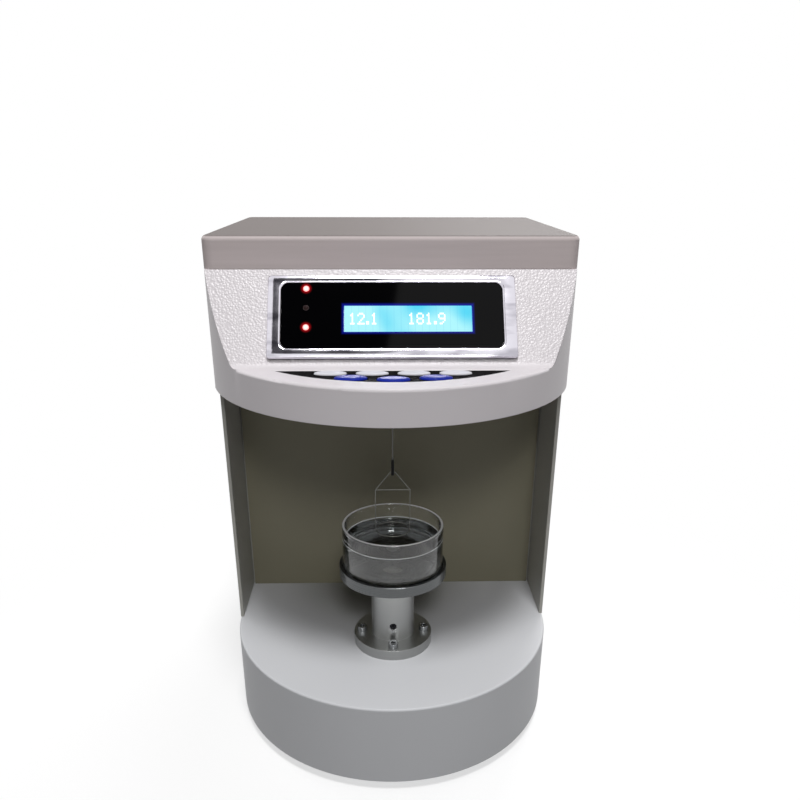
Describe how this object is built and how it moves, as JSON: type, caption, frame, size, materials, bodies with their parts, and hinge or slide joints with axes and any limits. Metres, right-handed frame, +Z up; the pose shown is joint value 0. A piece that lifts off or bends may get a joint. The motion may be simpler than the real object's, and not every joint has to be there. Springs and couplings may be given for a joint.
{
  "type": "surface tensiometer",
  "caption": "Bench-top ring tensiometer: sensor head with display and keypad over an open sample bay, ring on a hanger, motor-driven lift stage with glass dish, vented rear cover.",
  "frame": {"origin": "on the bench, under the middle of the outline", "axes": "+Z up, the front with the display and keypad faces -Y, +X to the right seen from the front"},
  "size_m": [0.194, 0.242, 0.282],
  "materials": {
    "casing_paint": "semi-gloss light grey powder coat",
    "column_paint": "gloss grey paint, in shade under the head",
    "head_paint": "fine wrinkle texture, light grey",
    "lid_paint": "satin warm grey",
    "bezel_chrome": "polished",
    "window_black": "gloss black acrylic",
    "lcd_blue": "backlit blue display",
    "lamp_red": "clear red lamp",
    "keypad_black": "gloss black",
    "key_white": "satin white",
    "key_blue": "satin blue",
    "rubber_black": "matt",
    "steel": "satin",
    "steel_dark": "blackened",
    "stage_alu": "fine turned, clear anodised",
    "bush_bronze": "plain bronze",
    "gear_brass": "machined",
    "glass_clear": "clear polished",
    "plastic_black": "moulded black",
    "board_green": "solder-masked laminate",
    "core_dark": "varnished laminations",
    "hook_black": "black oxide",
    "ring_metal": "bright drawn wire"
  },
  "bodies": {
    "frame": {"base_casing": "casing_paint", "base_plate": "steel", "rubber_feet": "rubber_black", "base_screws": "steel", "left_cheek": "column_paint", "right_cheek": "column_paint", "column_screws": "steel", "back_panel": "column_paint", "panel_screws": "steel", "rear_cover": "casing_paint", "cover_screws": "steel", "power_inlet": "plastic_black", "switch_body": "plastic_black", "serial_port": "steel", "transformer": "core_dark", "main_board": "board_green", "board_spacers": "gear_brass", "head_shell": "head_paint", "bezel": "bezel_chrome", "display_window": "window_black", "lcd_glass": "lcd_blue", "lcd_module": "plastic_black", "display_board": "board_green", "led_top": "lamp_red", "led_middle": "lamp_red", "led_bottom": "lamp_red", "keypad_plate": "keypad_black", "key_board": "board_green", "load_cell": "stage_alu", "cell_bracket": "stage_alu", "cell_screws": "steel", "sensor_fork": "steel", "pedestal": "stage_alu", "flange_screws": "steel", "guide_bush": "bush_bronze", "guide_pin": "steel_dark", "drive_bracket": "stage_alu", "lower_bearing": "steel", "upper_bearing": "steel", "stage_motor": "steel_dark", "motor_screws": "steel"},
    "lid": {"lid": "lid_paint"},
    "rocker": {"switch_rocker": "plastic_black"},
    "hanger": {"hanger": "hook_black"},
    "ring": {"ring": "ring_metal"},
    "screw": {"lead_screw": "steel", "driven_gear": "gear_brass"},
    "stage": {"lift_rod": "steel", "lift_nut": "gear_brass", "dish_tray": "stage_alu", "tray_screw": "steel"},
    "pinion": {"motor_pinion": "gear_brass"},
    "dish": {"dish": "glass_clear"},
    "back_key_1": {"back_key_1": "key_white"},
    "back_key_2": {"back_key_2": "key_white"},
    "back_key_3": {"back_key_3": "key_white"},
    "back_key_4": {"back_key_4": "key_white"},
    "front_key_1": {"front_key_1": "key_blue"},
    "front_key_2": {"front_key_2": "key_blue"},
    "front_key_3": {"front_key_3": "key_blue"}
  },
  "joints": [
    {"name": "lid_lift", "type": "slide", "parent": "frame", "child": "lid", "axis": [0, 0, 1], "range_m": [0, 0.06]},
    {"name": "power_rocker", "type": "hinge", "parent": "frame", "child": "rocker", "pos_m": [0.012, 0.1135, 0.0845], "axis": [1, 0, 0], "range_deg": [0, 16]},
    {"name": "back_key_1_press", "type": "slide", "parent": "frame", "child": "back_key_1", "axis": [0, 0, -1], "range_m": [0, 0.0008], "stiffness_N_per_m": 600},
    {"name": "back_key_2_press", "type": "slide", "parent": "frame", "child": "back_key_2", "axis": [0, 0, -1], "range_m": [0, 0.0008], "stiffness_N_per_m": 600},
    {"name": "back_key_3_press", "type": "slide", "parent": "frame", "child": "back_key_3", "axis": [0, 0, -1], "range_m": [0, 0.0008], "stiffness_N_per_m": 600},
    {"name": "back_key_4_press", "type": "slide", "parent": "frame", "child": "back_key_4", "axis": [0, 0, -1], "range_m": [0, 0.0008], "stiffness_N_per_m": 600},
    {"name": "front_key_1_press", "type": "slide", "parent": "frame", "child": "front_key_1", "axis": [0, 0, -1], "range_m": [0, 0.0008], "stiffness_N_per_m": 600},
    {"name": "front_key_2_press", "type": "slide", "parent": "frame", "child": "front_key_2", "axis": [0, 0, -1], "range_m": [0, 0.0008], "stiffness_N_per_m": 600},
    {"name": "front_key_3_press", "type": "slide", "parent": "frame", "child": "front_key_3", "axis": [0, 0, -1], "range_m": [0, 0.0008], "stiffness_N_per_m": 600},
    {"name": "hanger_swing", "type": "hinge", "parent": "frame", "child": "hanger", "pos_m": [0, -0.0545, 0.203], "axis": [0, 1, 0], "range_deg": [-4, 4]},
    {"name": "ring_swing", "type": "hinge", "parent": "hanger", "child": "ring", "pos_m": [0, -0.0545, 0.1613], "axis": [1, 0, 0], "range_deg": [-8, 8]},
    {"name": "screw_turn", "type": "hinge", "parent": "frame", "child": "screw", "pos_m": [0, -0.0545, 0.0175], "axis": [0, 0, 1], "range_deg": [0, 1260]},
    {"name": "stage_lift", "type": "slide", "parent": "frame", "child": "stage", "axis": [0, 0, 1], "range_m": [0, 0.014]},
    {"name": "pinion_turn", "type": "hinge", "parent": "frame", "child": "pinion", "pos_m": [0, -0.0265, 0.0175], "axis": [0, 0, 1], "range_deg": [-3150, 0]},
    {"name": "dish_lift", "type": "slide", "parent": "stage", "child": "dish", "axis": [0, 0, 1], "range_m": [0, 0.004]}
  ],
  "couplings": [
    {"joint": "stage_lift", "follows": "screw_turn", "m_per_rad": 0.00063662},
    {"joint": "pinion_turn", "follows": "screw_turn", "ratio": -2.5}
  ]
}
